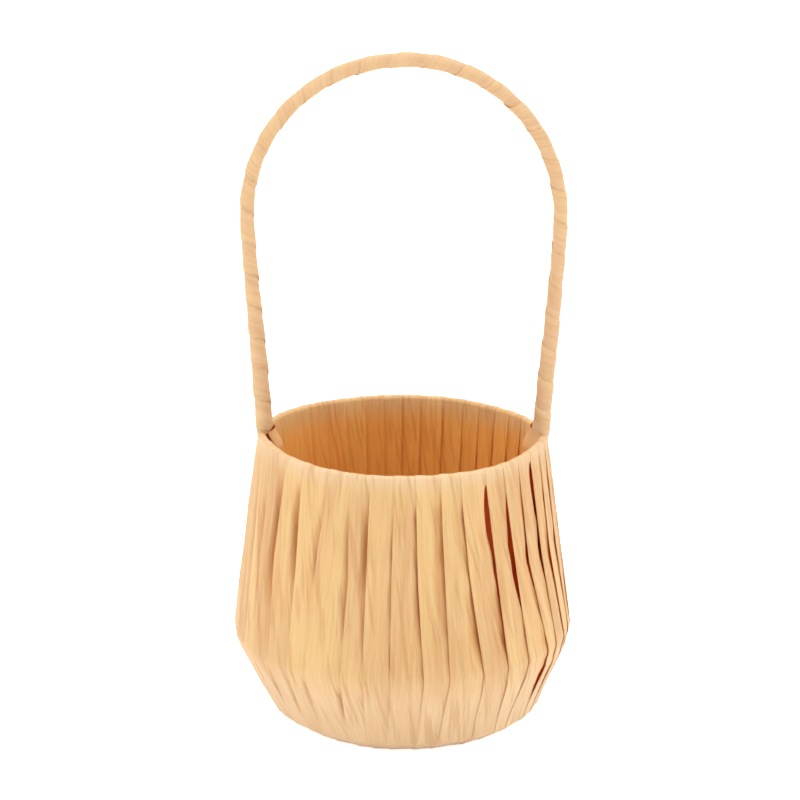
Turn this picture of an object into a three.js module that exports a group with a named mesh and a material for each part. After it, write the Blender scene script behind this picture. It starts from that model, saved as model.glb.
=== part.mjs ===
// A small round basket with a tall arched handle, wound from flat raffia-like ribbon over a wire frame.
// Four wire rings and eight uprights make the frame. Two lengths of ribbon, one for the front half and one
// for the back half, run over the rim, down outside, under the foot and up inside, turn after turn, and
// make the wall. The handle is one bent wire that goes down inside the wall to the foot ring, bound with
// two lengths of ribbon.
// Millimetres, +Z up. The origin is on the basket's axis, on the surface that it stands on.
// The handle lies in the XZ plane, and the front of the basket faces -Y.
import * as THREE from "three";

// Sizes of the body, measured over the ribbon
const bodyHeight = 115.2;
const rimRadius = 57.4;
const bellyRadius = 67.5;
const bellyHeight = 39;
const bellyBend = 8;
const lowerRadius = 54.6;
const lowerRingHeight = 7.8;
const footRadius = 46.3;

// Wire radii
const ringWire = 1.25;
const uprightWire = 1;
const handleWire = 1.6;

// Ribbon
const ribbonThickness = 0.7;
const handleRibbonThickness = 0.9;
const turnSpacing = 0.6;
const turnsPerHalf = 20;
const tailLength = 6;

// Handle, measured at the middle of its wire
const archHalfWidth = 60.1;
const archRise = 58;
const archCentreHeight = 203;
const legLean = THREE.MathUtils.degToRad(4.1);
const joggleHeight = 6.5;
const straightAboveJoggle = 1;
const bindingPitch = 12.4;
const bindingStartAboveRim = 3.4;
const spliceFromTop = 13;

// Strip that covers each leg inside the basket
const coverWidth = 8;

// Floor
const boardThickness = 2;
const floorRibbonWidth = 9.6;
const floorTurns = 8;
const floorEdgePoints = 4;

// The clearance that every two pieces which touch keep
const seat = 0.3;

// How finely round things are cut
const ringSides = 6;
const ringSteps = 48;
const rodSides = 8;
const archSteps = 44;
const bindingStepsPerTurn = 10;
const rimSteps = 6;
const bellySteps = 3;
const footInsideSteps = 2;
const gapSamples = 3;

const uprightCount = 8;
const uprightFootSide = THREE.MathUtils.degToRad(60);

const ribbonLook = { color: 0xe9bd84, roughness: 0.72, metalness: 0 };
const wireLook = { color: 0xb9b2a4, roughness: 0.45, metalness: 0.8 };
const boardLook = { color: 0xc8a676, roughness: 0.9, metalness: 0 };

const basket = new THREE.Group();

function addPiece(name, geometry, look) {
  const mesh = new THREE.Mesh(geometry, new THREE.MeshStandardMaterial(look));
  mesh.name = name;
  basket.add(mesh);
  return mesh;
}

// A closed solid through a row of sections, each with the same number of corners, capped at both ends.
// The corners run anticlockwise as seen from the end that the row moves towards.
function loft(sections) {
  const corners = sections[0].length;
  const positions = sections.flat().flatMap((p) => [p.x, p.y, p.z]);
  const faces = [];
  for (let s = 0; s + 1 < sections.length; s++) {
    for (let c = 0; c < corners; c++) {
      const next = (c + 1) % corners;
      const a = s * corners + c;
      const b = s * corners + next;
      faces.push(a, b, b + corners, a, b + corners, a + corners);
    }
  }
  const last = (sections.length - 1) * corners;
  for (let c = 1; c + 1 < corners; c++) {
    faces.push(0, c + 1, c);
    faces.push(last, last + c, last + c + 1);
  }
  const geometry = new THREE.BufferGeometry();
  geometry.setAttribute("position", new THREE.Float32BufferAttribute(positions, 3));
  geometry.setIndex(faces);
  geometry.computeVertexNormals();
  return geometry;
}

// A point at a radius and height, at an azimuth measured from +X towards +Y
function around(radius, height, azimuth) {
  return new THREE.Vector3(radius * Math.cos(azimuth), radius * Math.sin(azimuth), height);
}

// A round rod along points of radius and height in the upright plane at an azimuth, mitred at its bends
function rod(points, azimuth, wireRadius) {
  const side = new THREE.Vector3(-Math.sin(azimuth), Math.cos(azimuth), 0);
  const path = points.map(([radius, height]) => around(radius, height, azimuth));
  const sections = path.map((point, i) => {
    const before = path[Math.max(i - 1, 0)];
    const after = path[Math.min(i + 1, path.length - 1)];
    const into = point.clone().sub(before).normalize();
    const out = after.clone().sub(point).normalize();
    const along = into.clone().add(out).normalize();
    const stretch = i > 0 && i + 1 < path.length ? 1 / Math.max(along.dot(out), 0.5) : 1;
    const across = new THREE.Vector3().crossVectors(along, side);
    return Array.from({ length: rodSides }, (_, k) => {
      const turn = (2 * Math.PI * k) / rodSides;
      return point
        .clone()
        .addScaledVector(side, wireRadius * Math.cos(turn))
        .addScaledVector(across, wireRadius * stretch * Math.sin(turn));
    });
  });
  return loft(sections);
}

// Frame rings. Each is a disc in the plane of radius and height, where the ribbon bends round it.
const roll = ringWire + seat + ribbonThickness;
const rim = { radius: rimRadius - roll, height: bodyHeight - roll, bend: roll };
const belly = { radius: bellyRadius - bellyBend, height: bellyHeight, bend: bellyBend };
const lower = { radius: lowerRadius - roll, height: lowerRingHeight, bend: roll };
const foot = { radius: footRadius - roll, height: roll, bend: roll };
const bellyRingRadius = bellyRadius - roll;

function addRing(name, radius, height) {
  const ring = addPiece(name, new THREE.TorusGeometry(radius, ringWire, ringSides, ringSteps), wireLook);
  ring.position.z = height;
}

addRing("rim_ring", rim.radius, rim.height);
addRing("belly_ring", bellyRingRadius, belly.height);
addRing("lower_ring", lower.radius, lower.height);
addRing("foot_ring", foot.radius, foot.height);

// The direction that the ribbon faces on its way between two discs: outside going up, or inside going up
function facing(from, to, side) {
  const run = Math.hypot(to.radius - from.radius, to.height - from.height);
  const rise = Math.atan2(to.height - from.height, to.radius - from.radius);
  return rise + side * Math.acos((from.bend - to.bend) / run);
}

const upperWall = facing(belly, rim, -1);
const lowerWall = facing(lower, belly, -1);
const footWall = facing(foot, lower, -1);
const innerWall = facing(foot, rim, 1);
const down = -Math.PI / 2;

// Uprights: under the rim ring, inside the belly and lower rings, and down to the foot ring
function besideRing(radius, height, direction) {
  const reach = ringWire + seat + uprightWire;
  return [radius + reach * Math.cos(direction), height + reach * Math.sin(direction)];
}

const uprightTop = [rim.radius, rim.height - ringWire - seat];
const uprightLine = [
  uprightTop,
  besideRing(bellyRingRadius, belly.height, (upperWall + lowerWall) / 2 + Math.PI),
  besideRing(lower.radius, lower.height, (lowerWall + footWall) / 2 + Math.PI),
  besideRing(foot.radius, foot.height, uprightFootSide),
];
for (let i = 0; i < uprightCount; i++) {
  const azimuth = (2 * Math.PI * (i + 0.5)) / uprightCount;
  addPiece(`upright_${i + 1}`, rod(uprightLine, azimuth, uprightWire), wireLook);
}

// Corners of the ribbon's bend round a disc, between two directions that it faces, in a number of steps
function bendRound(disc, fromFacing, toFacing, steps) {
  const step = (toFacing - fromFacing) / steps;
  return Array.from({ length: steps }, (_, k) => {
    const direction = fromFacing + step * (k + 0.5);
    const outer = disc.bend / Math.cos(step / 2);
    const inner = (disc.bend - ribbonThickness) / Math.cos(step / 2);
    return {
      direction,
      outer: [disc.radius + outer * Math.cos(direction), disc.height + outer * Math.sin(direction)],
      inner: [disc.radius + inner * Math.cos(direction), disc.height + inner * Math.sin(direction)],
    };
  });
}

// One turn of the wall ribbon, from the inner edge of the rim over the rim, down outside and under the foot
const turnCorners = [
  ...bendRound(rim, innerWall, upperWall, rimSteps),
  ...bendRound(belly, upperWall, lowerWall, bellySteps),
  ...bendRound(lower, lowerWall, footWall, 1),
  ...bendRound(foot, footWall, down, 1),
  ...bendRound(foot, down, innerWall - 2 * Math.PI, footInsideSteps),
];

// Inside the basket the turns of each half draw together, and leave a slot for the handle's legs.
const legSlot = THREE.MathUtils.degToRad(3);
const innerShare = 1 - (2 * legSlot) / Math.PI;

function drawnIn(direction) {
  if (direction > upperWall) return (direction - upperWall) / (innerWall - upperWall);
  if (direction < down) return (down - direction) / (down - (innerWall - 2 * Math.PI));
  return 0;
}

// Both edges of the ribbon at a lane of the half that starts at an azimuth, flat across its width
function ribbonSection(outer, inner, lane, share, startAzimuth) {
  const lanePitch = Math.PI / turnsPerHalf;
  const scale = 1 - share * (1 - innerShare);
  const middle = startAzimuth + Math.PI / 2 + (lane + 0.5 - turnsPerHalf / 2) * lanePitch * scale;
  const halfAngle = (lanePitch * scale) / 2;
  const out = new THREE.Vector3(Math.cos(middle), Math.sin(middle), 0);
  const across = new THREE.Vector3(-Math.sin(middle), Math.cos(middle), 0);
  const corner = ([radius, height], side) => {
    const halfWidth = radius * Math.tan(halfAngle) - turnSpacing / 2;
    return out.clone().multiplyScalar(radius).addScaledVector(across, side * halfWidth).setZ(height);
  };
  return [corner(inner, 1), corner(outer, 1), corner(outer, -1), corner(inner, -1)];
}

// A point on the straight run inside the basket, where a share of 0 is at the foot and 1 is at the rim
function onInnerRun(share) {
  const low = turnCorners[turnCorners.length - 1];
  const high = turnCorners[0];
  const mix = (a, b) => a.map((value, i) => value + (b[i] - value) * share);
  return { outer: mix(low.outer, high.outer), inner: mix(low.inner, high.inner) };
}

// The whole winding of one half, with a short tail inside at each end
function wallWinding(startAzimuth) {
  const tailShare = tailLength / (rim.height - foot.height);
  const topTail = onInnerRun(1 - tailShare);
  const bottomTail = onInnerRun(tailShare);
  const sections = [];
  sections.push(ribbonSection(topTail.outer, topTail.inner, -tailShare, 1, startAzimuth));
  for (let turn = 0; turn < turnsPerHalf; turn++) {
    for (const { direction, outer, inner } of turnCorners) {
      sections.push(ribbonSection(outer, inner, turn, drawnIn(direction), startAzimuth));
    }
  }
  const lastLane = turnsPerHalf - 1 + tailShare;
  sections.push(ribbonSection(bottomTail.outer, bottomTail.inner, lastLane, 1, startAzimuth));
  return sections;
}

// The least distance between the edges of a winding's neighbouring turns, measured on points along them.
// A section's first two corners are on the side of the next turn, and the two half way on the other side.
function leastGap(sections, perTurn) {
  const edge = (corner) => {
    const points = [];
    for (let s = 0; s + 1 < sections.length; s++) {
      for (let k = 0; k < gapSamples; k++) {
        points.push(sections[s][corner].clone().lerp(sections[s + 1][corner], k / gapSamples));
      }
    }
    return points;
  };
  const half = sections[0].length / 2;
  let least = Infinity;
  for (const [corner, other] of [[0, half + 1], [1, half]]) {
    const right = edge(corner);
    const left = edge(other);
    right.forEach((point, i) => {
      const first = i + Math.ceil((perTurn * gapSamples) / 2);
      const last = Math.min(left.length, first + perTurn * gapSamples);
      for (let j = first; j < last; j++) least = Math.min(least, point.distanceTo(left[j]));
    });
  }
  return least;
}

function addWinding(name, sections, perTurn) {
  addPiece(name, loft(sections), ribbonLook);
  console.log(`${name}: least gap between its turns ${leastGap(sections, perTurn).toFixed(2)} mm`);
}

addWinding("wall_ribbon_front", wallWinding(Math.PI), turnCorners.length);
addWinding("wall_ribbon_back", wallWinding(0), turnCorners.length);

// The handle's wire, from the left foot to the right foot: up inside the wall, past the inside of the rim
// ring, outwards over the rim, up the leaning leg and round the arch. Points are X and Z.
const legFoot = [foot.radius, foot.height + ringWire + seat];
const legAtRim = [rim.radius - ringWire - seat - handleWire, rim.height];
const archStart = -Math.atan((Math.tan(legLean) * archRise) / archHalfWidth);
const archPoint = (angle) => [
  archHalfWidth * Math.cos(angle),
  archCentreHeight + archRise * Math.sin(angle),
];
const legTop = archPoint(archStart);
const legLine = (height) => [legTop[0] - (legTop[1] - height) * Math.tan(legLean), height];
const bindingBottom = bodyHeight + bindingStartAboveRim;

function rightHalfOfHandle() {
  const points = [];
  for (let k = 0; k < archSteps / 2; k++) {
    points.push(archPoint(Math.PI / 2 + ((archStart - Math.PI / 2) * k) / (archSteps / 2)));
  }
  points.push(legTop);
  points.push(legLine((legTop[1] + bindingBottom) / 2));
  points.push(legLine(rim.height + joggleHeight + straightAboveJoggle));
  points.push(legLine(rim.height + joggleHeight));
  points.push(legAtRim);
  points.push(legFoot);
  return points;
}

const rightHalf = rightHalfOfHandle();
const leftHalf = rightHalf.slice(1).map(([x, z]) => [-x, z]);
const handleLine = [...leftHalf.reverse(), ...rightHalf];
addPiece("handle_core", rod(handleLine, 0, handleWire), wireLook);

// Places along the handle's wire by length from its left end, with the way that it faces out from the arch
const handlePath = handleLine.map(([x, z]) => new THREE.Vector3(x, 0, z));
const runTo = [0];
handlePath.slice(1).forEach((point, i) => runTo.push(runTo[i] + point.distanceTo(handlePath[i])));
const handleLength = runTo[runTo.length - 1];

function alongAt(index) {
  const before = handlePath[Math.max(index - 1, 0)];
  const after = handlePath[Math.min(index + 1, handlePath.length - 1)];
  return after.clone().sub(before).normalize();
}

function placeOnHandle(length) {
  let i = 0;
  while (i < runTo.length - 2 && runTo[i + 1] < length) i++;
  const share = (length - runTo[i]) / (runTo[i + 1] - runTo[i]);
  const point = handlePath[i].clone().lerp(handlePath[i + 1], share);
  const along = alongAt(i).lerp(alongAt(i + 1), share).normalize();
  return { point, out: new THREE.Vector3(-along.z, 0, along.x) };
}

// The length along the wire at which its left leg reaches a height
function lengthAtHeight(height) {
  const i = handlePath.findIndex((point) => point.z >= height);
  const share = (height - handlePath[i - 1].z) / (handlePath[i].z - handlePath[i - 1].z);
  return runTo[i - 1] + share * (runTo[i] - runTo[i - 1]);
}

// A binding wound round the handle's wire between two lengths along it
function binding(start, end) {
  const turns = Math.floor((end - start) / bindingPitch);
  const pitch = (end - start) / (turns + 1);
  const width = pitch - turnSpacing;
  const inner = handleWire + seat;
  const outer = inner + handleRibbonThickness;
  const steps = turns * bindingStepsPerTurn;
  return Array.from({ length: steps + 1 }, (_, k) => {
    const turn = (2 * Math.PI * k) / bindingStepsPerTurn;
    const low = start + turnSpacing / 2 + (pitch * k) / bindingStepsPerTurn;
    const corner = (length, radius) => {
      const { point, out } = placeOnHandle(length);
      return point
        .clone()
        .addScaledVector(out, radius * Math.cos(turn))
        .add(new THREE.Vector3(0, radius * Math.sin(turn), 0));
    };
    return [
      corner(low + width, outer),
      corner(low + width, inner),
      corner(low, inner),
      corner(low, outer),
    ];
  });
}

const bindingStart = lengthAtHeight(bindingBottom);
const splice = handleLength / 2 + spliceFromTop;
addWinding("handle_ribbon_left", binding(bindingStart, splice), bindingStepsPerTurn);
addWinding("handle_ribbon_right", binding(splice, handleLength - bindingStart), bindingStepsPerTurn);

// The floor: a round board that wedges in the cone of the inner wall, just above the foot ring
const innerRadiusAt = (height) => {
  const lean = (rim.radius - foot.radius) / (rim.height - foot.height);
  return foot.radius - foot.bend / Math.cos(Math.atan(lean)) + (height - foot.height) * lean;
};
const floorBottom = 2 * roll;
const boardBottom = floorBottom + ribbonThickness + seat;
const boardTop = boardBottom + boardThickness;
const floorTop = boardTop + seat + ribbonThickness;
const floorRadius = innerRadiusAt(floorBottom) - seat;
const boardRadius = floorRadius - ribbonThickness - 2 * seat;
const board = addPiece(
  "floor_board",
  new THREE.CylinderGeometry(boardRadius, boardRadius, boardThickness, ringSteps),
  boardLook,
);
board.rotation.x = Math.PI / 2;
board.position.z = boardBottom + boardThickness / 2;

// The floor's ribbon goes over the board from front to back and returns slantwise under it.
// Its ends follow the board's round edge.
function floorWinding() {
  const lanePitch = (2 * (boardRadius - seat)) / floorTurns;
  const width = Math.min(floorRibbonWidth, lanePitch - turnSpacing);
  const edgeRow = (lane, side, radius, height) => {
    const middle = (lane - (floorTurns - 1) / 2) * lanePitch;
    const from = Math.asin((middle + width / 2) / radius);
    const to = Math.asin((middle - width / 2) / radius);
    return Array.from({ length: floorEdgePoints }, (_, k) => {
      const angle = from + ((to - from) * k) / (floorEdgePoints - 1);
      return new THREE.Vector3(radius * Math.sin(angle), side * radius * Math.cos(angle), height);
    });
  };
  const section = (lane, side, top) => {
    const outerHeight = top ? floorTop : floorBottom;
    const innerHeight = top ? floorTop - ribbonThickness : floorBottom + ribbonThickness;
    const outerRow = edgeRow(lane, side, floorRadius, outerHeight);
    const innerRow = edgeRow(lane, side, floorRadius - ribbonThickness, innerHeight);
    return [outerRow[0], ...innerRow, ...outerRow.slice(1).reverse()];
  };
  const sections = [];
  for (let lane = 0; lane < floorTurns; lane++) {
    sections.push(section(lane, -1, false), section(lane, -1, true));
    sections.push(section(lane, 1, true), section(lane, 1, false));
  }
  return sections;
}
addWinding("floor_ribbon", floorWinding(), 4);

// The strip of ribbon that covers a leg of the handle inside the basket, from the rim down to the floor
function legCover(side) {
  const top = bodyHeight;
  const bottom = floorTop + seat;
  const atTop = legAtRim[0] - handleWire - seat;
  const atBottom = innerRadiusAt(bottom) - seat;
  const lean = (atTop - atBottom) / (rim.height - bottom);
  const section = (height) => {
    const back = atBottom + (height - bottom) * lean;
    const front = back - ribbonThickness;
    const corner = (radius, across) =>
      new THREE.Vector3(side * radius, (side * across * coverWidth) / 2, height);
    return [corner(front, -1), corner(front, 1), corner(back, 1), corner(back, -1)];
  };
  return loft([section(top), section(bottom)]);
}
addPiece("leg_cover_left", legCover(-1), ribbonLook);
addPiece("leg_cover_right", legCover(1), ribbonLook);

export default basket;
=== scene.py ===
# Looks for a small round basket with a tall arched handle, wound from flat raffia-like ribbon.
# Metres, in the part's frame: +Z up, the handle's arch in the XZ plane, the front of the basket facing -Y.
import math

import bpy
import numpy as np
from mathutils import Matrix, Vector


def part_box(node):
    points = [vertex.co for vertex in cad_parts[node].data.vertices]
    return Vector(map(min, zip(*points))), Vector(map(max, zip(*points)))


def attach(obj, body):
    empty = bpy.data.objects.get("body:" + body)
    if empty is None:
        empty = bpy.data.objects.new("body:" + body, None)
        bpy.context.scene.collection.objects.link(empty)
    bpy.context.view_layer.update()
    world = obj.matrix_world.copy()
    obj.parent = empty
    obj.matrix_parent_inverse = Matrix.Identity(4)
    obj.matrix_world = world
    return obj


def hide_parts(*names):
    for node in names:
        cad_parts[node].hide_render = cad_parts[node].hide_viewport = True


MM = 0.001

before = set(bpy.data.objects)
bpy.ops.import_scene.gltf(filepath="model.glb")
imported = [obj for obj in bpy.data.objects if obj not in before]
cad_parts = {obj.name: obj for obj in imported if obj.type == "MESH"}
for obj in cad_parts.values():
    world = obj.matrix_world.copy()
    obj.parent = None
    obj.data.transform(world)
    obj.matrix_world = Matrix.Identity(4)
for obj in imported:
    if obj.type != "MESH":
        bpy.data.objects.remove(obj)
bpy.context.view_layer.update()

# Places and sizes that the looks share with the part
WALL_LOW, WALL_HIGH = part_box("wall_ribbon_front")
BODY_HEIGHT = WALL_HIGH.z
BELLY_RADIUS = -WALL_LOW.y
RIM_RADIUS = 57.4 * MM
BELLY_HEIGHT = 39 * MM
BELLY_BEND = 8 * MM
LOWER_RADIUS = 54.6 * MM
LOWER_HEIGHT = 7.8 * MM
FOOT_RADIUS = 46.3 * MM
ROLL = 2.25 * MM
TURNS = 40
TURNS_A_PIECE = 5
RIBBON_WIDTH = 10.6 * MM
RIBBON_THICKNESS = 0.3 * MM
ARCH_HALF_WIDTH = 60.1 * MM
ARCH_RISE = 58 * MM
ARCH_CENTRE_HEIGHT = 203 * MM
LEG_LEAN = math.radians(4.1)

# The camera: its lens and sensor in millimetres, its place, and how far it looks down, in radians
LENS = 94.8
SENSOR_WIDTH = 36
EYE = (-0.98 * MM, -795.2 * MM, 349.6 * MM)
LOOK_DOWN = 0.271


def make_camera():
    """The photograph's view: from the front, higher than the handle and looking down."""
    data = bpy.data.cameras.new("camera")
    data.lens = LENS
    data.sensor_width = SENSOR_WIDTH
    data.clip_start = 0.05
    data.clip_end = 20
    camera = bpy.data.objects.new("camera", data)
    camera.location = EYE
    camera.rotation_euler = (math.pi / 2 - LOOK_DOWN, 0, 0)
    bpy.context.scene.collection.objects.link(camera)
    bpy.context.scene.camera = camera


# Shader maths


class Wire:
    """An output socket. Sums and products of wires and numbers add Math nodes."""

    def __init__(self, look, socket):
        self.look = look
        self.socket = socket

    def math(self, operation, *values):
        return self.look.node("ShaderNodeMath", {"operation": operation}, dict(enumerate(values)))

    def __add__(self, other):
        return self.math("ADD", self, other)

    def __radd__(self, other):
        return self.math("ADD", other, self)

    def __sub__(self, other):
        return self.math("SUBTRACT", self, other)

    def __rsub__(self, other):
        return self.math("SUBTRACT", other, self)

    def __mul__(self, other):
        return self.math("MULTIPLY", self, other)

    def __rmul__(self, other):
        return self.math("MULTIPLY", other, self)


class Nodes:
    """A node tree, and short ways to add to it."""

    def __init__(self, tree):
        self.tree = tree

    def node(self, kind, settings=None, inputs=None, output=0):
        """A node of a type: its settings first, then its sockets' values or links."""
        made = self.tree.nodes.new(kind)
        for key, value in (settings or {}).items():
            setattr(made, key, value)
        for key, value in (inputs or {}).items():
            self.feed(made.inputs[key], value)
        return Wire(self, made.outputs[output])

    def feed(self, socket, value):
        if isinstance(value, Wire):
            self.tree.links.new(value.socket, socket)
        else:
            socket.default_value = value

    def blend(self, factor, first, second):
        """Two colours mixed by a factor."""
        made = self.tree.nodes.new("ShaderNodeMix")
        made.data_type = "RGBA"
        self.feed(made.inputs["Factor"], factor)
        self.feed(made.inputs["A"], first)
        self.feed(made.inputs["B"], second)
        return Wire(self, made.outputs["Result"])

    def stretch(self, vector, scale, shift=(0, 0, 0)):
        """A vector times a scale, moved by a shift."""
        settings = {"operation": "MULTIPLY_ADD"}
        return self.node("ShaderNodeVectorMath", settings, {0: vector, 1: scale, 2: shift})

    def parts(self, vector):
        """A vector's three parts."""
        made = self.node("ShaderNodeSeparateXYZ", {}, {0: vector})
        return [Wire(self, socket) for socket in made.socket.node.outputs]

    def join(self, *values):
        """A vector from its three parts."""
        return self.node("ShaderNodeCombineXYZ", {}, dict(enumerate(values)))

    def noise(self, vector, detail=2.0, roughness=0.5):
        inputs = {"Vector": vector, "Scale": 1.0, "Detail": detail, "Roughness": roughness}
        return self.node("ShaderNodeTexNoise", {}, inputs)

    def ramp(self, value, low, high, top=1.0):
        """0 below low, top above high, and smooth between them."""
        settings = {"interpolation_type": "SMOOTHSTEP"}
        inputs = {"Value": value, "From Min": low, "From Max": high, "To Max": top}
        return self.node("ShaderNodeMapRange", settings, inputs)

    def bump(self, height, distance):
        inputs = {"Height": height, "Distance": distance, "Strength": 1.0}
        return self.node("ShaderNodeBump", {}, inputs)


class Look(Nodes):
    """A material with one Principled shader, and the nodes that feed it."""

    def __init__(self, name):
        self.material = bpy.data.materials.new(name)
        self.material.use_nodes = True
        super().__init__(self.material.node_tree)
        self.shader = self.tree.nodes["Principled BSDF"]

    def set(self, **inputs):
        for key, value in inputs.items():
            self.feed(self.shader.inputs[key.replace("_", " ")], value)

    def mix_shaders(self, share, other):
        """The surface becomes a share of another shader and the rest of the Principled one."""
        mixer = self.tree.nodes.new("ShaderNodeMixShader")
        mixer.inputs[0].default_value = share
        self.tree.links.new(self.shader.outputs[0], mixer.inputs[1])
        self.tree.links.new(other.socket, mixer.inputs[2])
        self.tree.links.new(mixer.outputs[0], self.tree.nodes["Material Output"].inputs["Surface"])


def srgb(red, green, blue):
    """A display colour from 0 to 255 as the linear colour that a shader takes."""

    def linear(value):
        value /= 255
        return value / 12.92 if value <= 0.04045 else ((value + 0.055) / 1.055) ** 2.4

    return (linear(red), linear(green), linear(blue), 1.0)


# The ribbon's colour where a turn has yellowed
YELLOWED = srgb(236, 206, 132)

# The ribbon's painted light and shade, each where its fibres are deep and where they are pale
# Painted light: paler on the rim and on the wall below the belly, which the white floor lights
PAINTED_LIGHT = (srgb(220, 190, 142), srgb(231, 207, 162))
# Painted warm shade inside the basket, where less light reaches
INNER_SHADE = (srgb(236, 165, 73), srgb(246, 189, 93))
# Painted shade deep beside folds and seams
HOLLOW_SHADE = (srgb(196, 120, 30), srgb(210, 138, 44))
# Painted brown shade on the ribbon's back, which the slits show
BACK_SHADE = (srgb(200, 100, 40), srgb(220, 124, 58))

# Painted shade in its creases, on the outside and inside the basket
CREASE_SHADE = (srgb(188, 144, 84), srgb(206, 126, 48))

# What shines through the ribbon, how much of the light does, and a faint painted glow on its painted brown
# back
THROUGH = srgb(244, 150, 64)
THROUGH_SHARE = 0.3
BACK_PAINTED_GLOW = srgb(190, 96, 36)
BACK_PAINTED_GLOW_STRENGTH = 0.08


def ribbon_look(name, pale, deep, grain=1.0):
    """Flat raffia-like ribbon: long fibres, soft slanting creases with painted shade in them, and a tint of
    its own for each turn.

    The attribute lie holds millimetres across and along the ribbon, and the turn's number. The attribute
    reverse is 1 on the ribbon's back, which gets a painted brown shade and a faint painted glow. The
    attribute
    tint has three shares from 0 to 1: inner_shade, the painted warm shade inside the basket, painted_light,
    a paler painted light on the rim and below the belly, and hollow_shade, painted shade where the ribbon
    lies deep beside a fold or a seam and light comes only through the ribbon.
    """
    look = Look(name)
    lie = look.node("ShaderNodeAttribute", {"attribute_name": "lie"}, output=1)
    fibres = look.noise(look.stretch(lie, (3.3, 0.05, 5.3)), detail=3.0, roughness=0.65)
    strands = look.noise(look.stretch(lie, (0.9, 0.03, 3.1), (17.0, 3.0, 0.0)), detail=3.0)
    across, along, turn = look.parts(lie)
    slant = look.join(across * 0.6 - along * 0.1 + turn * 1.7, along * 0.03, turn * 2.3)
    creases = look.ramp(look.noise(slant), 0.54, 0.64, 0.08 + 0.3 * grain)
    turns = look.noise(look.stretch(lie, (0.05, 0.006, 1.7), (3.0, 0.0, 9.0)), detail=0.0)
    grains = fibres * (0.35 * grain) + strands * 0.35 + (0.175 - 0.175 * grain)
    tone = look.ramp(grains + turns * (0.06 + 0.12 * grain) + (0.12 - 0.06 * grain), 0.37, 0.63)
    reverse = look.node("ShaderNodeAttribute", {"attribute_name": "reverse"}, output=2)
    tint = look.node("ShaderNodeAttribute", {"attribute_name": "tint"}, output=1)
    inner_shade, painted_light, hollow_shade = look.parts(tint)
    face = look.blend(tone, deep, pale)
    face = look.blend(look.ramp(turns, 0.35, 0.65, 0.1 + 0.2 * grain), face, YELLOWED)
    # Painted light on the rim, below the belly and just under the roll inside
    face = look.blend(painted_light, face, look.blend(tone, *PAINTED_LIGHT))
    # Painted warm shade inside the basket
    face = look.blend(inner_shade, face, look.blend(tone, *INNER_SHADE))
    # Painted shade in the creases
    face = look.blend(creases, face, look.blend(inner_shade, *CREASE_SHADE))
    # Painted shade where the ribbon lies deep in pockets and folds
    face = look.blend(hollow_shade, face, look.blend(tone, *HOLLOW_SHADE))
    relief = (fibres + strands) * (0.5 * grain) - creases * 4.0
    look.set(
        # The back gets a painted brown shade
        Base_Color=look.blend(reverse, face, look.blend(tone, *BACK_SHADE)),
        Roughness=look.ramp(strands, 0.2, 0.8) * 0.14 + 0.5 + reverse * 0.3,
        Normal=look.bump(relief, 0.06 * MM),
        # and a faint painted glow
        Emission_Color=look.blend(reverse, (0, 0, 0, 1), BACK_PAINTED_GLOW),
        Emission_Strength=BACK_PAINTED_GLOW_STRENGTH,
    )
    look.mix_shaders(THROUGH_SHARE, look.node("ShaderNodeBsdfTranslucent", {}, {"Color": THROUGH}))
    return look.material


def wire_look():
    """Soft iron wire that has rusted brown all over."""
    look = Look("dull_wire")
    place = look.node("ShaderNodeNewGeometry")
    mottle = look.noise(look.stretch(place, (900, 900, 900)), detail=3.0)
    rust = look.noise(look.stretch(place, (160, 160, 160), (3.0, 1.0, 7.0)), detail=4.0)
    brown = look.blend(look.ramp(mottle, 0.35, 0.65), srgb(164, 92, 46), srgb(184, 112, 62))
    look.set(
        Base_Color=look.blend(look.ramp(rust, 0.5, 0.7), brown, srgb(142, 72, 34)),
        Roughness=mottle * 0.2 + 0.75,
        Normal=look.bump(mottle, 0.03 * MM),
    )
    return look.material


def board_look():
    """Plain grey-brown board with short pressed fibres."""
    look = Look("plain_board")
    place = look.node("ShaderNodeNewGeometry")
    pulp = look.noise(look.stretch(place, (700, 2600, 700)), detail=4.0, roughness=0.65)
    look.set(
        Base_Color=look.blend(look.ramp(pulp, 0.35, 0.65), srgb(168, 138, 98), srgb(196, 168, 126)),
        Roughness=0.9,
        Normal=look.bump(pulp, 0.05 * MM),
    )
    return look.material


# Ribbon in mesh code

# How far an end reaches past its last row, as a share of the last step, so that its corner shades crisply
CRISP_END = 0.01


def smooth_noise(x, y, seed):
    """Smooth noise from -1 to 1 over two coordinates, the same on each run."""
    x, y = np.broadcast_arrays(np.asarray(x, float), np.asarray(y, float))
    cell_x, cell_y = np.floor(x), np.floor(y)
    ease_x, ease_y = x - cell_x, y - cell_y
    ease_x = ease_x * ease_x * (3 - 2 * ease_x)
    ease_y = ease_y * ease_y * (3 - 2 * ease_y)

    def corner(i, j):
        wave = np.sin((cell_x + i) * 127.1 + (cell_y + j) * 311.7 + seed * 74.7) * 43758.5453
        return 2 * (wave - np.floor(wave)) - 1

    low = corner(0, 0) * (1 - ease_x) + corner(1, 0) * ease_x
    high = corner(0, 1) * (1 - ease_x) + corner(1, 1) * ease_x
    return low * (1 - ease_y) + high * ease_y


def ease(value, start, end):
    """0 before start, 1 after end, and smooth between them."""
    share = np.clip((value - start) / (end - start), 0, 1)
    return share * share * (3 - 2 * share)


def with_ends(rows):
    """Rows with the first and the last of them repeated."""
    return np.concatenate([rows[:1], rows, rows[-1:]])


def to_loops(rows):
    """Each row's values taken once round the ribbon: upper side, right edge, lower side, left edge."""
    return np.concatenate([rows, rows[:, -1:], rows[:, ::-1], rows[:, :1]], axis=1)


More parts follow.
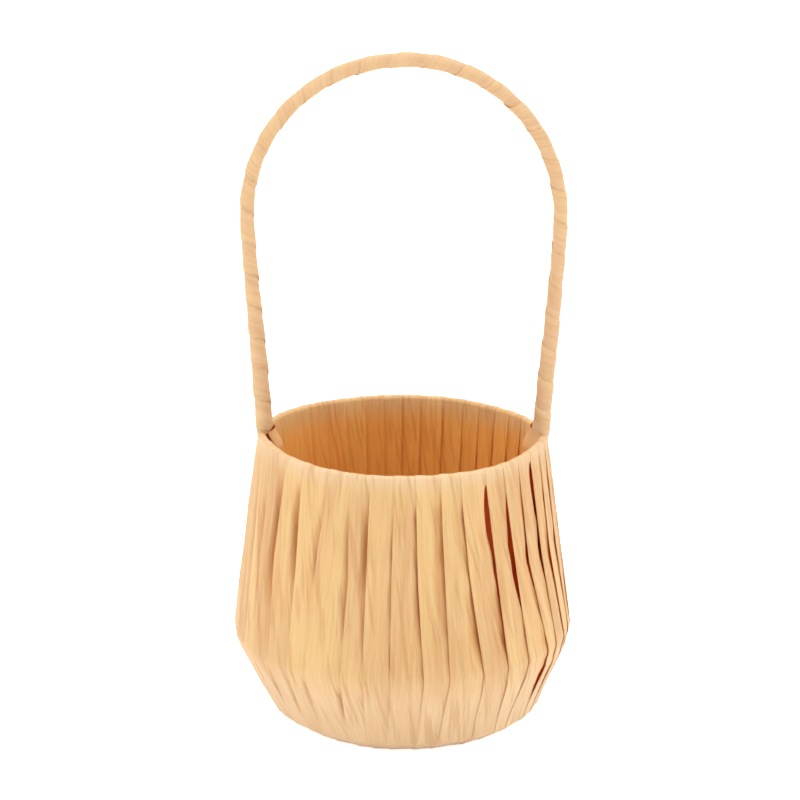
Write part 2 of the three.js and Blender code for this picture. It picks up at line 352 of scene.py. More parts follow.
def ribbon_faces(rows, columns):
    """The faces between a ribbon's loops of points and over its two ends."""
    around = 2 * columns + 2
    faces = []
    for row in range(rows - 1):
        start = row * around
        for column in range(around):
            following = (column + 1) % around
            faces.append(
                (start + column, start + around + column, start + around + following, start + following)
            )
    for base, flip in ((0, False), ((rows - 1) * around, True)):
        corners = [base + column for column in range(around)]
        for k in range(columns - 1):
            quad = (corners[k], corners[k + 1], corners[2 * columns - k - 1], corners[2 * columns - k])
            faces.append(quad[::-1] if flip else quad)
        right = (corners[columns - 1], corners[columns], corners[columns + 1])
        left = (corners[2 * columns], corners[2 * columns + 1], corners[0])
        faces.append(right[::-1] if flip else right)
        faces.append(left[::-1] if flip else left)
    return faces


def write_attribute(mesh, name, values):
    """An attribute of the mesh's points: a number each, or three where the values have a third axis."""
    kind, key = ("FLOAT_VECTOR", "vector") if values.ndim == 3 else ("FLOAT", "value")
    mesh.attributes.new(name, kind, "POINT")
    mesh.attributes[name].data.foreach_set(key, values.reshape(-1).astype(np.float32))


def ribbon_mesh(name, places, normals, lie, thickness, look, tint=(0, 0, 0)):
    """A closed thin ribbon through rows of places, with rounded edges. Rows run across the ribbon."""
    tint = with_ends(np.broadcast_to(tint, places.shape))
    start = places[0] + (places[0] - places[1]) * CRISP_END
    finish = places[-1] + (places[-1] - places[-2]) * CRISP_END
    places = np.concatenate([start[None], places, finish[None]])
    normals = with_ends(normals)
    lie = with_ends(lie)
    rows, columns = places.shape[:2]
    half = thickness / 2
    side = places[:, 1] - places[:, 0]
    side /= np.linalg.norm(side, axis=1, keepdims=True)
    other = places[:, -1] - places[:, -2]
    other /= np.linalg.norm(other, axis=1, keepdims=True)
    upper = places + normals * half
    lower = (places - normals * half)[:, ::-1]
    first = (places[:, 0] - side * half)[:, None]
    last = (places[:, -1] + other * half)[:, None]
    loops = np.concatenate([upper, last, lower, first], axis=1)
    reverse = np.zeros(loops.shape[:2])
    reverse[:, columns + 1 : -1] = 1
    mesh = bpy.data.meshes.new(name)
    mesh.from_pydata(loops.reshape(-1, 3).tolist(), [], ribbon_faces(rows, columns))
    write_attribute(mesh, "lie", to_loops(lie))
    write_attribute(mesh, "reverse", reverse)
    write_attribute(mesh, "tint", to_loops(tint))
    # The sides shade smoothly and the two ends flat
    sides = (rows - 1) * loops.shape[1]
    mesh.polygons.foreach_set("use_smooth", [k < sides for k in range(len(mesh.polygons))])
    mesh.validate()
    mesh.update()
    mesh.materials.append(look)
    made = bpy.data.objects.new(name, mesh)
    bpy.context.scene.collection.objects.link(made)
    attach(made, "root")
    return made


# The wall's turns

# Where each turn's left edge lies, in degrees from the front: at the rim, half way, at the belly and at the
# foot. The heights of these four places follow, from the foot up
SEAMS = {
    1: (-80, -79, -77, -79),
    2: (-70, -68, -66, -68),
    3: (-60, -61, -59, -61),
    4: (-50, -52, -49.5, -52),
    5: (-41, -40.3, -40.7, -43),
    6: (-29, -31.8, -33.4, -34),
    7: (-20, -19, -20.5, -22.5),
    8: (-12, -12.5, -13, -15),
    9: (-3, -3.8, -4, -6.4),
    10: (5, 5.3, 7, 5.5),
    11: (14.3, 14.7, 15.5, 14),
    12: (22, 23.8, 27.5, 29),
    13: (32.7, 34.7, 37, 40),
    14: (41.4, 43.6, 46.3, 45.5),
    15: (50, 50.8, 57.6, 58),
    16: (58.3, 59.4, 63.5, 66),
    17: (66.5, 66.5, 71.5, 75),
    18: (74.5, 74, 78, 82),
    19: (82, 82, 84, 87),
}
SEAM_HEIGHTS = [3 * MM, 36 * MM, 76 * MM, 113 * MM]

# Slits beside a turn's left edge: turn, heights in millimetres where it opens and closes, width in
# millimetres, and its skew: over 1 it is widest below its middle, under 1 above it
SLITS = [
    (13, 110, 80, 2.5, 0.8),
    (13, 92, 63, 1.0, 0.8),
    (14, 108, 58, 1.9, 1.25),
    (15, 107, 56, 0.5, 0.8),
    (15, 35, 17, 1.0, 0.8),
    (16, 113, 88, 1.9, 0.7),
    (16, 94, 57, 0.4, 0.8),
    (17, 103, 90, 0.4, 1.0),
    (12, 103, 72, 0.25, 1.0),
    (10, 94, 52, 0.35, 1.2),
    (7, 77, 50, 0.3, 1.0),
    (1, 34, 20, 1.2, 1.0),
    (23, 98, 74, 1.4, 0.8),
    (26, 90, 62, 1.0, 1.0),
    (29, 104, 80, 1.6, 0.7),
    (33, 96, 70, 1.2, 1.0),
    (36, 88, 60, 0.9, 1.0),
]

# Pockets, where the right part of the turn before an edge rolls inwards: the edge's turn, the heights where
# the pocket begins and ends, its depth and its width, in millimetres
POCKETS = [
    (3, 108, 60, 1.2, 5.0),
    (4, 110, 58, 3.2, 5.4),
    (5, 108, 66, 2.8, 4.6),
    (6, 104, 66, 0.6, 3.0),
    (7, 104, 50, 0.7, 2.6),
    (8, 104, 68, 1.8, 3.6),
    (8, 70, 44, 0.5, 2.4),
    (9, 104, 80, 0.35, 3.0),
    (9, 76, 40, 0.3, 3.0),
    (10, 104, 44, 0.3, 2.6),
    (11, 106, 78, 0.4, 4.2),
    (11, 76, 44, 0.3, 3.0),
    (12, 70, 42, 0.5, 3.6),
    (13, 66, 44, 0.5, 2.6),
    (3, 70, 44, 0.9, 2.8),
    (2, 100, 70, 1.1, 3.0),
    (7, 33, 14, 1.2, 2.4),
    (5, 32, 16, 1.3, 2.6),
    (4, 33, 18, 1.5, 2.6),
    (6, 34, 20, 1.0, 2.4),
    (3, 34, 18, 1.3, 2.4),
    (21, 100, 66, 1.0, 3.0),
    (24, 96, 60, 1.4, 3.0),
    (27, 104, 72, 1.2, 3.0),
    (31, 90, 54, 1.0, 3.0),
    (35, 102, 70, 1.5, 3.0),
    (38, 92, 58, 1.0, 3.0),
    (15, 36, 15, 0.5, 3.0),
]

# Lengthwise folds: turn, height in millimetres and share of the width where it starts, height where it runs
# off the right edge, and how far it leans
FOLDS = [
    (3, 106, 0.5, 60, 0.3),
    (4, 108, 0.45, 66, 0.4),
    (5, 98, 0.6, 70, 0.25),
    (6, 96, 0.55, 50, 0.18),
    (7, 108, 0.62, 84, 0.26),
    (8, 92, 0.45, 58, 0.16),
    (9, 106, 0.42, 76, 0.3),
    (9, 70, 0.4, 36, 0.2),
    (10, 108, 0.68, 84, 0.3),
    (10, 92, 0.3, 52, 0.26),
    (11, 104, 0.42, 72, 0.32),
    (11, 74, 0.36, 34, 0.2),
    (12, 96, 0.35, 68, 0.28),
    (12, 72, 0.45, 42, 0.2),
    (13, 90, 0.4, 62, 0.24),
    (14, 84, 0.5, 48, 0.2),
    (15, 98, 0.55, 66, 0.2),
    (16, 78, 0.45, 46, 0.22),
]


def facing(start, end, side):
    """The direction that the ribbon faces on its way between two discs, with its outside on one side."""
    run = math.hypot(end[0] - start[0], end[1] - start[1])
    rise = math.atan2(end[1] - start[1], end[0] - start[0])
    return rise + side * math.acos((start[2] - end[2]) / run)


# The discs that the ribbon bends over: how far out and how high the middle is, and the radius
RIM = (RIM_RADIUS - ROLL, BODY_HEIGHT - ROLL, ROLL)
BELLY = (BELLY_RADIUS - BELLY_BEND, BELLY_HEIGHT, BELLY_BEND)
LOWER = (LOWER_RADIUS - ROLL, LOWER_HEIGHT, ROLL)
FOOT = (FOOT_RADIUS - ROLL, ROLL, ROLL)

# How far inside the wall's outer face the middle of the ribbon runs
SET_IN = 0.5 * MM

# How far out of its even course the wall stands under the belly, in millimetres, by height: left and right.
# It grows from the front to the sides and fades again behind them, by degrees from the front
SWELLS = {
    -1: [(0, -0.2), (9, -0.35), (14, 0.3), (25, 0.7), (31, 1.1), (36, 0.7), (39.5, 0)],
    1: [(0, 1.5), (5, 1.9), (10, 1.5), (15, 1.2), (31, 1.2), (35, 0.1), (39.5, 0)],
}
SWELL_GROWS = (0, 42)
SWELL_FADES = (160, 110)

# How many millimetres the rim rises above its hoop, by degrees from the front, and how far down the wall
# follows it
RIM_RISES = [
    (-150, 0.9),
    (-115, 1.6),
    (-98, 1.5),
    (-88, 1.4),
    (-80, 2.2),
    (-71, 3.2),
    (-62, 2.8),
    (-54, 1.8),
    (-45, 1.4),
    (-30, 0.6),
    (-15, 0.1),
    (30, 0.2),
    (44, 0.4),
    (56, 1.3),
    (68, 2.0),
    (74, 2.0),
    (81, 0.9),
    (90, 0.2),
    (98, 0.3),
    (140, 0.2),
    (160, 0.9),
]
RIM_RISE_DEPTH = 45 * MM

# How many degrees a turn that SEAMS doesn't list wanders from its even place at most
WANDER = 1.4

# How far the turns stand back from a leg of the handle, inside and outside, and how far down they meet again
LEG_GAPS = (3.1 * MM, 2.7 * MM)
LEG_GAP_DEPTHS = (15 * MM, 7.5 * MM)

# How many places lie across a turn
WALL_COLUMNS = 15

# Inside, a turn leans over to its next place on the rim below this height
LEAN_TOP = 0.62 * BODY_HEIGHT

# The least that a turn laps under the next, and the most, as a share of its width
LEAST_LAP = 0.8 * MM
MOST_LAP = 0.5

# How wide a slit is where nothing is left of its lap, and a leg's gap where the turn before it ends there
OPEN_SLIT = 0.4 * MM
OPEN_LEG_GAP = 0.2 * MM

# How many millimetres a lap lifts the ribbon: everywhere, more where it is free, less at the rim, and more
# again where it is free inside
LAP_STEP = 0.32
LAP_STEP_FREE = 0.1
LAP_STEP_RIM = 0.08
LAP_STEP_INSIDE = 0.28

# Faint folds at chance places in every turn: how many, and in millimetres the highest one's top, how far
# they lie below each other, their length and how far chance shifts these. The last is how far they lean
FAINT_FOLDS = 3
FAINT_TOP = 104
FAINT_SPACING = 26
FAINT_LENGTH = 30
FAINT_CHANCE = 9
FAINT_LEAN = 0.14

# How much painted hollow shade each millimetre of depth gives
HOLLOW_SHADE_PER_MM = 0.3


def wall_stations():
    """One turn's stations: radius, height, the two parts of the outward normal, and which part it is on.

    Part 0 is the roll over the rim, 1 the outside, 2 the underside of the foot and 3 the way up inside.
    """
    upper = facing(BELLY, RIM, -1)
    lower = facing(LOWER, BELLY, -1)
    foot = facing(FOOT, LOWER, -1)
    inner = facing(FOOT, RIM, 1)
    # Each arc: the disc, the first and the last direction, its steps and its part
    arcs = [
        (RIM, inner, upper, 10, 0),
        (BELLY, upper, lower, 6, 1),
        (LOWER, lower, foot, 4, 1),
        (FOOT, foot, -math.pi / 2, 3, 1),
        (FOOT, -math.pi / 2, inner - 2 * math.pi, 5, 2),
    ]
    # After each arc: how many stations lie on the way to the next one, and their part
    straights = [(26, 1), (12, 1), (4, 1), (0, 1), (24, 3)]
    stations = []
    for (centre, start, end, steps, part), (between, next_part) in zip(arcs, straights):
        for k in range(steps + 1):
            # The two arcs over the foot share a station
            if k == 0 and part == 2:
                continue
            turn = start + (end - start) * k / steps
            reach = centre[2] - SET_IN
            place = (centre[0] + reach * math.cos(turn), centre[1] + reach * math.sin(turn))
            stations.append((*place, math.cos(turn), math.sin(turn), part))
        stations.append((between, next_part))
    filled = []
    for index, station in enumerate(stations):
        if len(station) == 5:
            filled.append(station)
            continue
        between, part = station
        before = np.array(stations[index - 1][:4])
        after = np.array(stations[(index + 1) % len(stations)][:4])
        for k in range(1, between + 1):
            filled.append((*(before + (after - before) * k / (between + 1)), part))
    return np.array(filled)


def seam_angle(turn, height):
    """Degrees from the front to a turn's left edge on the outside at a height."""
    around, turn = divmod(turn, TURNS)
    if turn in SEAMS:
        degrees = SEAMS[turn]
    else:
        even = -90 + 360 / TURNS * turn
        wander = 0 if turn in (0, TURNS // 2) else WANDER
        degrees = [even + wander * float(smooth_noise(turn * 0.73, 5.0 + 0.4 * k, 3)) for k in range(4)]
    return around * 360 + np.interp(height, SEAM_HEIGHTS, list(degrees)[::-1])


def left_edge(turn, stations):
    """Degrees from the front to a turn's left edge at each station."""
    height, part = stations[:, 1], stations[:, 4]
    outside = seam_angle(turn, height)
    under = np.full_like(height, seam_angle(turn, 0))
    next_rim = seam_angle(turn + 1, BODY_HEIGHT)
    climb = ease(height, ROLL, LEAN_TOP)
    inside = under + (next_rim - under) * climb
    rolled = np.full_like(height, seam_angle(turn, BODY_HEIGHT))
    return np.select([part == 0, part == 1, part == 2], [rolled, outside, under], inside)


def slit_width(turn, stations):
    """How far each station's right edge stands back from the next turn's left edge."""
    height, part = stations[:, 1] / MM, stations[:, 4]
    width = np.zeros_like(height)
    for opened, top, bottom, most, skew in SLITS:
        if opened != turn % TURNS:
            continue
        share = np.clip((top - height) / (top - bottom), 0, 1)
        width = np.maximum(width, most * np.sin(math.pi * share**skew) ** 0.9)
    return np.where(part == 1, width, 0) * MM


def leg_slot(turn, stations):
    """How far the wall's turns stand back from each other round the handle's legs."""
    height, part = stations[:, 1], stations[:, 4]
    inside = part == 3
    beside = np.where(inside, (turn + 1) % (TURNS // 2), turn % (TURNS // 2)) == 0
    width = np.where(inside, *LEG_GAPS)
    fall = np.where(inside, *LEG_GAP_DEPTHS)
    full = np.where(inside, 2 * ROLL, ROLL)
    return width * ease(height, BODY_HEIGHT - fall, BODY_HEIGHT - full) * beside * (part != 2)


def rim_rise(angle, stations):
    """How much higher than the hoop the rim stands: it climbs towards the legs of the handle."""
    degrees = np.degrees(angle) + 90
    places, rises = zip(*RIM_RISES)
    rise = sum(np.interp(degrees + shift, places, rises, period=360) for shift in (-4, 0, 4)) / 3
    return rise * MM * ease(stations[:, 1:2], BODY_HEIGHT - RIM_RISE_DEPTH, BODY_HEIGHT - ROLL)


def lower_swell(angle, stations):
    """How far out of its even course the wall stands under the belly."""
    degrees = (np.degrees(angle) + 270) % 360 - 180
    swell = 0
    for side, sizes in SWELLS.items():
        heights, lengths = zip(*sizes)
        sideways = ease(side * degrees, *SWELL_GROWS) * ease(side * degrees, *SWELL_FADES)
        swell = swell + np.interp(stations[:, 1:2] / MM, heights, lengths) * sideways
    return swell * MM * ease(stations[:, 2:3], -0.3, 0.3)


def run_along(stations):
    """How far along its turn each station is, and the length of the whole turn."""
    closed = np.concatenate([stations[:, :2], stations[:1, :2]])
    run = np.concatenate([[0], np.cumsum(np.hypot(*np.diff(closed, axis=0).T))])
    return run[:-1], run[-1]


def slack(stations):
    """How free the ribbon is to move, from 0 where it bends over a hoop to 1 half way between two."""
    height, part = stations[:, 1:2] / MM, stations[:, 4:5]
    belly, low, rim = BELLY_HEIGHT / MM, LOWER_HEIGHT / MM, (BODY_HEIGHT - ROLL) / MM
    upper = np.sin(math.pi * np.clip((height - belly) / (rim - belly), 0, 1)) ** 0.6
    lower = 0.6 * np.sin(math.pi * np.clip((height - low) / (belly - low), 0, 1))
    inside = 0.8 * np.sin(math.pi * np.clip(height / rim, 0, 1)) ** 0.6
    return np.select([part == 1, part == 3], [np.where(height > belly, upper, lower), inside], 0 * height)


def fold(share, height, width, top, start, bottom, lean):
    """A soft crease that starts at a share of the width and runs off the right edge lower down."""
    line = start + (1.1 - start) * np.clip((top - height) / (top - bottom), 0, 1)
    beyond = (share - line) * width
    soft = 0.5
    drop = 0.6 * soft * np.logaddexp(0, beyond / soft) + 1.5 * np.exp(-((beyond / 0.8) ** 2))
    return -lean * drop * ease(height, top, top - 8) * ease(height, bottom - 6, bottom + 4)


def lap_height(share, part, free):
    """How far the ribbon stands out on its slope from over the turn before it to under the next one."""
    step = LAP_STEP + LAP_STEP_FREE * free
    step = step - LAP_STEP_RIM * (part == 0) + LAP_STEP_INSIDE * free * (part == 3)
    return step * np.where(share < 1, 0.5 - share, -0.5 - 0.3 * (share - 1))


def crease_height(turn, across, height, along, free):
    """Soft slanting creases, from broad ones to fine ones, all in millimetres."""
    slant = across + 0.13 * height
    creases = 0.4 * free * smooth_noise(slant * 0.25, along * 0.02, turn)
    ridges = 1 - 2 * np.abs(smooth_noise(slant * 0.22 + 0.4, along * 0.016, turn + 40))
    creases += (0.04 + 0.36 * free) * ridges
    creases += (0.04 + 0.1 * free) * smooth_noise(slant * 0.8, along * 0.035, turn + 90)
    creases += 0.025 * smooth_noise(across * 1.7 + 0.02 * along, along * 0.03, turn + 170)
    return creases


def wall_height(turn, share, stations, pitch):
    """How far the ribbon stands out from its even course, and how many millimetres of that are folds."""
    height, part = stations[:, 1:2] / MM, stations[:, 4:5]
    along = run_along(stations)[0][:, None] / MM
    free = slack(stations)
    across = share * pitch / MM
    radius = stations[:, 0:1] / MM
    width = pitch / MM
    # The left edge curls inwards, and between its edges the ribbon lies flat, inside the round
    curl = -0.12 * np.exp(-across / 0.7)
    flat = -radius * (1 - np.cos(width / radius / 2)) * (1 - np.clip(2 * share - 1, -1, 1) ** 2)
    creases = crease_height(turn, across, height, along, free)
    dip = creases * ease(share, 0, 0.22) * (1 - ease(share, 0.8, 1))
    for folded, top, start, bottom, lean in FOLDS:
        if folded == turn % TURNS:
            dip = dip + fold(share, height, width, top, start, bottom, lean) * (part == 1)
    for k in range(FAINT_FOLDS):
        chance = [float(smooth_noise(turn * 3.7 + 0.5, k + 0.5 * j, 7)) for j in range(3)]
        top = FAINT_TOP - FAINT_SPACING * k + FAINT_CHANCE * chance[0]
        bottom = top - FAINT_LENGTH - FAINT_CHANCE * chance[1]
        start = 0.3 + 0.25 * chance[2]
        outside_or_inside = (part == 1) | (part == 3)
        dip = dip + fold(share, height, width, top, start, bottom, FAINT_LEAN) * outside_or_inside
    to_seam = (1 - share) * width
    dip = dip - 0.15 * free * (1 - ease(to_seam, 0, 2)) * (part == 1)
    for pocketed, top, bottom, depth, reach in POCKETS:
        if pocketed == (turn + 1) % TURNS:
            bell = np.sin(math.pi * np.clip((top - height) / (top - bottom), 0, 1))
            dip = dip - depth * bell * (1 - ease(to_seam, 0.45 * reach, reach)) * (part == 1)
    return (lap_height(share, part, free) + curl + flat + dip) * MM, dip


def wall_tint(stations, dip):
    """How much painted warm shade inside, painted light on the rim and below the belly, and painted shade in
    hollows a turn has.
    """
    height, part = stations[:, 1:2], stations[:, 4:5]
    # Painted warm shade inside: on the roll's inner half, and more further down the inside
    inward = ease(-stations[:, 2:3], -0.2, 0.8)
    lower = ease(height, BODY_HEIGHT - 2 * MM, BODY_HEIGHT - 13 * MM)
    inner_shade = np.select([part == 0, part == 3], [0.22 * inward, 0.22 + 0.78 * lower], 0)
    # Painted light below the belly, near the rim, on the roll's outer half, and a little just under the roll
    # inside
    low = ease(height, BELLY_HEIGHT + 5 * MM, BELLY_HEIGHT - 16 * MM)
    rim = ease(height, BODY_HEIGHT - 9 * MM, BODY_HEIGHT)
    outside, inside = np.maximum(low, rim), 0.25 * (1 - lower)
    painted_light = np.select([part == 0, part == 1, part == 3], [1 - 0.75 * inward, outside, inside], 0)
    # The third share is painted shade, stronger where the ribbon dips deeper
    return np.stack([inner_shade + 0 * dip, painted_light + 0 * dip, np.clip(-HOLLOW_SHADE_PER_MM * dip, 0, 1)], axis=-1)


def wall_turn(turn, stations):
    """Rows of places, normals, lie and tint of one turn of the wall's ribbon."""
    radius, height = stations[:, 0], stations[:, 1]
    left = left_edge(turn, stations)
    right = left_edge(turn + 1, stations)
    pitch = np.radians(right - left) * radius
    lap = np.clip(RIBBON_WIDTH - pitch, LEAST_LAP, MOST_LAP * pitch)
    back = slit_width(turn + 1, stations)
    opened = ease(back, 0, OPEN_SLIT)
    lap = lap * (1 - opened) - back
    start = leg_slot(turn, stations) / pitch
    end = 1 + lap / pitch
    # Where the next turn makes room for a leg, this one stops short of it too
    stop = leg_slot(turn + 1, stations)
    end = np.where(stop > OPEN_LEG_GAP, 1 - stop / pitch, end)
    across = np.linspace(0, 1, WALL_COLUMNS)[None, :]
    share = start[:, None] + (end - start)[:, None] * across
    out, dip = wall_height(turn, share, stations, pitch[:, None])
    angle = np.radians(left[:, None] + share * (right - left)[:, None] - 90)
    normal_r, normal_z = stations[:, 2:3], stations[:, 3:4]
    r = radius[:, None] + out * normal_r + lower_swell(angle, stations)
    z = height[:, None] + out * normal_z + rim_rise(angle, stations)
    places = np.stack([r * np.cos(angle), r * np.sin(angle), z], axis=-1)
    normals = np.stack(
        [normal_r * np.cos(angle), normal_r * np.sin(angle), normal_z + 0 * angle], axis=-1
    )
    along, length = run_along(stations)
    lie = np.stack(
        [
            share * pitch[:, None] / MM,
            (along[:, None] + turn * length + 0 * share) / MM,
            turn + along[:, None] / length + 0 * share,
        ],
        axis=-1,
    )
    return places, normals, lie, wall_tint(stations, dip)


def make_wall(look):
    """Every turn of the wall's ribbon, in pieces of a few turns."""
    stations = wall_stations()
    for piece in range(TURNS // TURNS_A_PIECE):
        turns = range(piece * TURNS_A_PIECE, (piece + 1) * TURNS_A_PIECE)
        parts = [wall_turn(turn, stations) for turn in turns]
        parts.append([rows[:1] for rows in wall_turn(turns[-1] + 1, stations)])
        places, normals, lie, tint = (np.concatenate(rows) for rows in zip(*parts))
        name = f"wall_turns_{piece + 1}"
        made = ribbon_mesh(name, places, normals, lie, RIBBON_THICKNESS, look, tint)
        half = "front" if turns[0] < TURNS // 2 else "back"
        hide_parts(f"wall_ribbon_{half}")


# The handle

# How far inside the rim's middle line a leg passes it, and from where it comes, further out and lower
LEG_SET_IN = 1.9 * MM
LEG_START = (1.3 * MM, 12 * MM)

# How high above the rim a leg bends into its straight course, and how many points the arch has at first
JOGGLE_HEIGHT = 6.5 * MM
ARCH_POINTS = 200

# How far the binding climbs in a turn, how wide its ribbon lies along the handle, and the ribbon's thickness
HANDLE_PITCH = 12.5 * MM
WRAP_WIDTH = 15.2 * MM
WRAP_THICKNESS = 0.25 * MM

# How far a turn of the binding slants, as a share of its climb, and the slant's direction round the handle
WRAP_SLANT = 0.62
WRAP_SLANT_FROM = math.radians(125)

# Where the binding ends on each leg: the mean height, and how much lower it is outside than inside
LEFT_END = (115.6 * MM, 3.0 * MM)
RIGHT_END = (112.4 * MM, 2.0 * MM)

# How many rows a turn of the binding has, and how many places lie across it
WRAP_ROWS = 32
WRAP_COLUMNS = 11

# The binding's radius on the arch and how much it grows down the legs, in millimetres, between two heights
GIRTH = 2.5
GIRTH_BELOW = 0.55
GIRTH_HEIGHTS = (190 * MM, 128 * MM)

# How far the hand-bent handle stands to the right of its even course, in millimetres, by the share of its
# way from the left foot to the right
BENDS = [
    (0, 0),
    (0.1, 0.2),
    (0.22, 0.3),
    (0.28, 0.8),
    (0.56, 0.8),
    (0.63, 0),
    (0.72, 0),
    (0.77, 0.8),
    (0.86, 0.8),
    (0.89, 0.4),
    (0.96, 0.4),
    (1, 0),
]


def handle_path(step):
    """Points up the left leg, round the arch and down the right leg, in the XZ plane, evenly spaced."""
    start = -math.atan(math.tan(LEG_LEAN) * ARCH_RISE / ARCH_HALF_WIDTH)
    turns = np.linspace(math.pi - start, start, ARCH_POINTS)
    arch = np.stack(
        [ARCH_HALF_WIDTH * np.cos(turns), ARCH_CENTRE_HEIGHT + ARCH_RISE * np.sin(turns)], axis=-1
    )
    rim_height = BODY_HEIGHT - ROLL
    rim_place = RIM[0] - LEG_SET_IN
    leg_drop = arch[0, 1] - rim_height - JOGGLE_HEIGHT
    left = np.array(
        [
            (-rim_place - LEG_START[0], rim_height - LEG_START[1]),
            (-rim_place, rim_height),
            (arch[0, 0] + leg_drop * math.tan(LEG_LEAN), rim_height + JOGGLE_HEIGHT),
        ]
    )
    right = left[::-1] * [-1, 1]
    line = np.concatenate([left, arch, right])
    run = np.concatenate([[0], np.cumsum(np.hypot(*np.diff(line, axis=0).T))])
    even = np.linspace(0, run[-1], int(run[-1] / step) + 1)
    x, z = np.interp(even, run, line[:, 0]), np.interp(even, run, line[:, 1])
    # The wire bends in small rounds
    for _ in range(6):
        x[1:-1] = (x[:-2] + 2 * x[1:-1] + x[2:]) / 4
        z[1:-1] = (z[:-2] + 2 * z[1:-1] + z[2:]) / 4
    return x, z


def small_bends(way):
    """How far to the right the handle stands at a share of its way."""
    ways, shifts = zip(*BENDS)
    return sum(np.interp(way + blur, ways, shifts) for blur in (-0.015, 0, 0.015)) / 3 * MM


def binding_rows(length, low):
    """The binding's rows on a handle of some length that starts at some height.

    For each row its angle round the handle and its turn's number, and for each place on it the share of the
    ribbon's width and how far along the handle it lies.
    """
    turns = length / HANDLE_PITCH + 2
    angle = np.linspace(0, 2 * math.pi * turns, int(WRAP_ROWS * turns))[:, None]
    number = angle / (2 * math.pi)
    sway = WRAP_SLANT * HANDLE_PITCH / (2 * math.pi)
    lead = (number - 1.5) * HANDLE_PITCH + sway * np.sin(angle - WRAP_SLANT_FROM)
    lead = lead + 0.5 * MM * smooth_noise(number * 1.3, 2.0, 11)
    first = LEFT_END[0] - low - LEFT_END[1] * np.cos(angle)
    last = length - (RIGHT_END[0] - low - RIGHT_END[1] * np.cos(angle))
    near = np.clip((first - lead) / WRAP_WIDTH, 0, 1)
    far = np.clip((last - lead) / WRAP_WIDTH, 0, 1)
    kept = (far - near > 0.05)[:, 0]
    angle, number, lead, near, far = (rows[kept] for rows in (angle, number, lead, near, far))
    across = near + (far - near) * np.linspace(0, 1, WRAP_COLUMNS)[None, :]
    return angle, number, across, lead + across * WRAP_WIDTH


def binding_radius(angle, number, across, height):
    """How far the binding stands out from the handle's middle line, in millimetres."""
    girth = GIRTH + GIRTH_BELOW * ease(height, *GIRTH_HEIGHTS)
    lift = 0.36 - 0.48 * across
    curl = -0.12 * np.exp(-across * WRAP_WIDTH / MM / 0.6)
    wrinkle = 0.09 * smooth_noise(across * 9, number * 2.2, 21)
    wrinkle = wrinkle + 0.07 * smooth_noise(angle * 0.9, across * 2, 31)
    corners = 0.1 * np.cos(3 * angle + 1.3 * np.sin(number * 0.9))
    return girth + lift + curl + wrinkle + corners


def make_handle(look):
    """The ribbon bound round the handle, each turn lapping over the one before."""
    step = 0.5 * MM
    x, z = handle_path(step)
    run = np.arange(len(x)) * step
    length = run[-1]
    tangent_x, tangent_z = np.gradient(x), np.gradient(z)
    size = np.hypot(tangent_x, tangent_z)
    tangent_x, tangent_z = tangent_x / size, tangent_z / size
    angle, number, across, spot = binding_rows(length, z[0])
    centre_x = np.interp(spot, run, x) + small_bends(spot / length)
    centre_z = np.interp(spot, run, z)
    out_x, out_z = -np.interp(spot, run, tangent_z), np.interp(spot, run, tangent_x)
    reach = binding_radius(angle, number, across, centre_z) * MM
    # The binding widens where it goes into the rim
    foot = 0.5 * ease(centre_z, BODY_HEIGHT + 6 * MM, BODY_HEIGHT)
    wide = reach + foot * MM
    places = np.stack(
        [
            centre_x + wide * out_x * np.cos(angle),
            (reach + 0.7 * foot * MM) * np.sin(angle),
            centre_z + wide * out_z * np.cos(angle),
        ],
        axis=-1,
    )
    normals = np.stack(
        [out_x * np.cos(angle), np.sin(angle) + 0 * across, out_z * np.cos(angle)], axis=-1
    )
    # A turn takes about 18 mm of ribbon, and the tint changes at every third turn
    lie = np.stack(
        [
            across * WRAP_WIDTH / MM,
            number * 18 + 0 * across,
            40 + np.floor(number / 3) + 0 * across,
        ],
        axis=-1,
    )
    middle = len(places) // 2
    for name, rows, node in (
        ("handle_wrap_left", slice(0, middle + 1), "handle_ribbon_left"),
        ("handle_wrap_right", slice(middle, None), "handle_ribbon_right"),
    ):
        made = ribbon_mesh(name, places[rows], normals[rows], lie[rows], WRAP_THICKNESS, look)
        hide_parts(node)


# Inside the basket

# The strip over a leg: heights in millimetres, how far it stands in from its straight course there, and how
# much it is bent round the leg
STRIP_HEIGHTS = [9, 50, 80, 100, 111, 115.2, 118.8]
STRIP_SHIFTS = [0, 0, 0, 0.3, 2.2, 1.1, -0.1]
STRIP_BENDS = [1.0, 2.2, 3.0, 3.2, 3.0, 3.4, 3.6]

# How much further each strip's front part reaches, as a share of half its width: left and right
STRIP_REACHES = {-1: -0.16, 1: 0.5}

# How high a strip ends above the body, how far inside the part's strip it lies, half its width, and its rows
# and columns
STRIP_TOP = 4.4 * MM
STRIP_SET_IN = 0.7 * MM
STRIP_HALF_WIDTH = 4.1 * MM
STRIP_ROWS = 70
STRIP_COLUMNS = 13

# How many lanes the floor's ribbon takes, how many places lie across it, and its width as a share of a lane
FLOOR_LANES = 9
FLOOR_COLUMNS = 9
FLOOR_RIBBON = 1.12

# How far the floor's winding reaches beyond the part's, and how far inside it lies above and below
FLOOR_SPREAD = 0.7 * MM
FLOOR_SET_IN = 0.35 * MM


